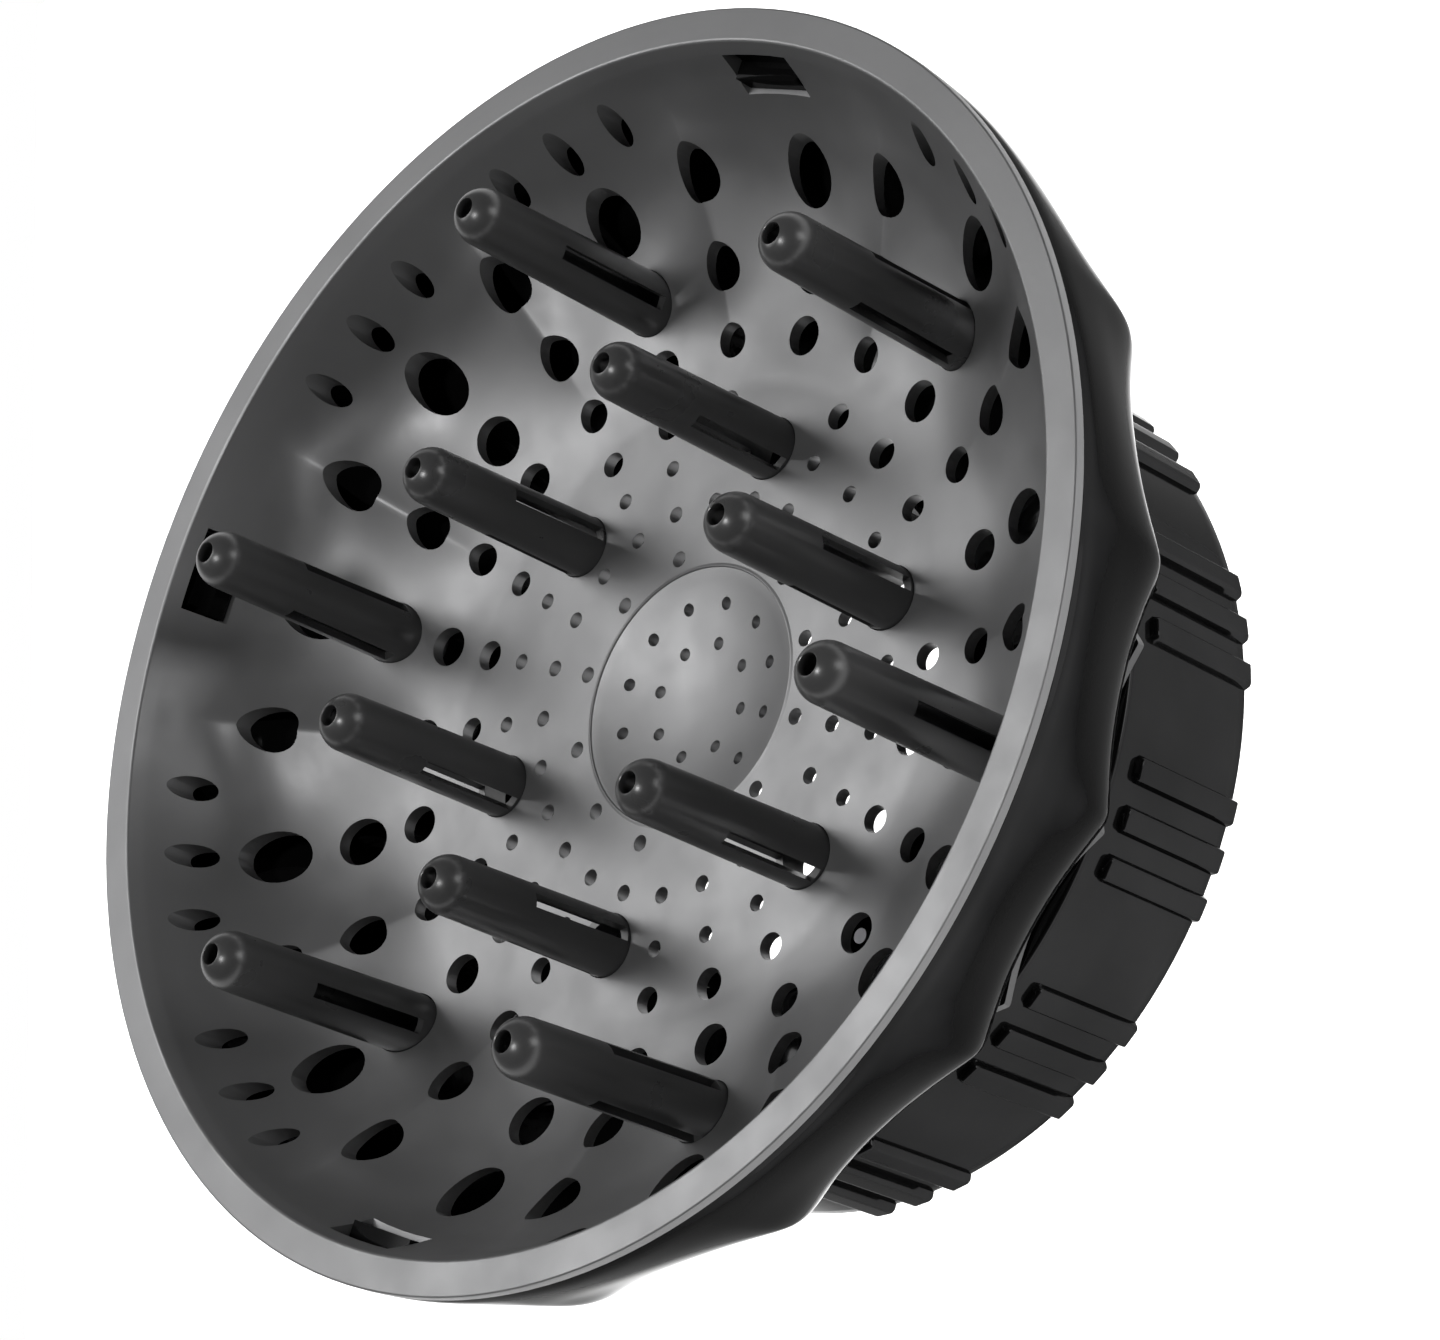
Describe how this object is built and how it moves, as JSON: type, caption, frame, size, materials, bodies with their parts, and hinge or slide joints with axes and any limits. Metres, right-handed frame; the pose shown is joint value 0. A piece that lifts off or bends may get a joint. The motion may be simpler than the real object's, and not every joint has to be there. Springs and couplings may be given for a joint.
{
  "type": "dryer diffuser",
  "caption": "Round perforated hair dryer diffuser bowl with hollow prongs, a scooped glossy housing and a twist collar whose jaws grip the dryer nozzle.",
  "frame": {"origin": "middle of the twist collar's rear edge, on the plane that the part stands on", "axes": "+Z along the air flow, out of the bowl; +X through an outer prong"},
  "size_m": [0.165, 0.165, 0.0759],
  "materials": {
    "bowl_plastic": "satin moulded, fine grain",
    "prong_plastic": "semi-gloss moulded",
    "housing_gloss": "polished black",
    "collar_plastic": "semi-gloss black",
    "nylon": "matte, heat-resistant nylon",
    "pad_rubber": "matte silicone rubber",
    "steel": "zinc-plated"
  },
  "bodies": {
    "diffuser": {"diffuser_bowl": "bowl_plastic", "outer_prong_1": "prong_plastic", "outer_prong_2": "prong_plastic", "outer_prong_3": "prong_plastic", "outer_prong_4": "prong_plastic", "outer_prong_5": "prong_plastic", "outer_prong_6": "prong_plastic", "inner_prong_1": "prong_plastic", "inner_prong_2": "prong_plastic", "inner_prong_3": "prong_plastic", "inner_prong_4": "prong_plastic", "inner_prong_5": "prong_plastic", "inner_prong_6": "prong_plastic", "outer_housing": "housing_gloss", "jaw_carrier": "nylon", "rear_cover": "collar_plastic", "pivot_pin_1": "steel", "pivot_pin_2": "steel", "pivot_pin_3": "steel", "pivot_pin_4": "steel", "pivot_pin_5": "steel", "pivot_pin_6": "steel", "cover_screw_1": "steel", "cover_screw_2": "steel", "cover_screw_3": "steel", "cover_screw_4": "steel", "cover_screw_5": "steel", "cover_screw_6": "steel", "carrier_screw_1": "steel", "carrier_screw_2": "steel", "carrier_screw_3": "steel", "carrier_screw_4": "steel"},
    "collar": {"twist_collar": "collar_plastic"},
    "jaw_1_body": {"jaw_1": "nylon", "jaw_pad_1": "pad_rubber"},
    "jaw_2_body": {"jaw_2": "nylon", "jaw_pad_2": "pad_rubber"},
    "jaw_3_body": {"jaw_3": "nylon", "jaw_pad_3": "pad_rubber"},
    "jaw_4_body": {"jaw_4": "nylon", "jaw_pad_4": "pad_rubber"},
    "jaw_5_body": {"jaw_5": "nylon", "jaw_pad_5": "pad_rubber"},
    "jaw_6_body": {"jaw_6": "nylon", "jaw_pad_6": "pad_rubber"}
  },
  "joints": [
    {"name": "collar_turn", "type": "hinge", "parent": "diffuser", "child": "collar", "pos_m": [0, 0, 0.0115], "axis": [0, 0, 1], "range_deg": [0, 50]},
    {"name": "jaw_1_swing", "type": "hinge", "parent": "diffuser", "child": "jaw_1_body", "pos_m": [0.045, 0, 0.0094], "axis": [0, 0, 1], "range_deg": [0, 34]},
    {"name": "jaw_2_swing", "type": "hinge", "parent": "diffuser", "child": "jaw_2_body", "pos_m": [0.0225, 0.03897, 0.0094], "axis": [0, 0, 1], "range_deg": [0, 34]},
    {"name": "jaw_3_swing", "type": "hinge", "parent": "diffuser", "child": "jaw_3_body", "pos_m": [-0.0225, 0.03897, 0.0094], "axis": [0, 0, 1], "range_deg": [0, 34]},
    {"name": "jaw_4_swing", "type": "hinge", "parent": "diffuser", "child": "jaw_4_body", "pos_m": [-0.045, 0, 0.0094], "axis": [0, 0, 1], "range_deg": [0, 34]},
    {"name": "jaw_5_swing", "type": "hinge", "parent": "diffuser", "child": "jaw_5_body", "pos_m": [-0.0225, -0.03897, 0.0094], "axis": [0, 0, 1], "range_deg": [0, 34]},
    {"name": "jaw_6_swing", "type": "hinge", "parent": "diffuser", "child": "jaw_6_body", "pos_m": [0.0225, -0.03897, 0.0094], "axis": [0, 0, 1], "range_deg": [0, 34]}
  ],
  "couplings": [
    {"joint": "jaw_1_swing", "follows": "collar_turn", "ratio": 0.68},
    {"joint": "jaw_2_swing", "follows": "collar_turn", "ratio": 0.68},
    {"joint": "jaw_3_swing", "follows": "collar_turn", "ratio": 0.68},
    {"joint": "jaw_4_swing", "follows": "collar_turn", "ratio": 0.68},
    {"joint": "jaw_5_swing", "follows": "collar_turn", "ratio": 0.68},
    {"joint": "jaw_6_swing", "follows": "collar_turn", "ratio": 0.68}
  ]
}
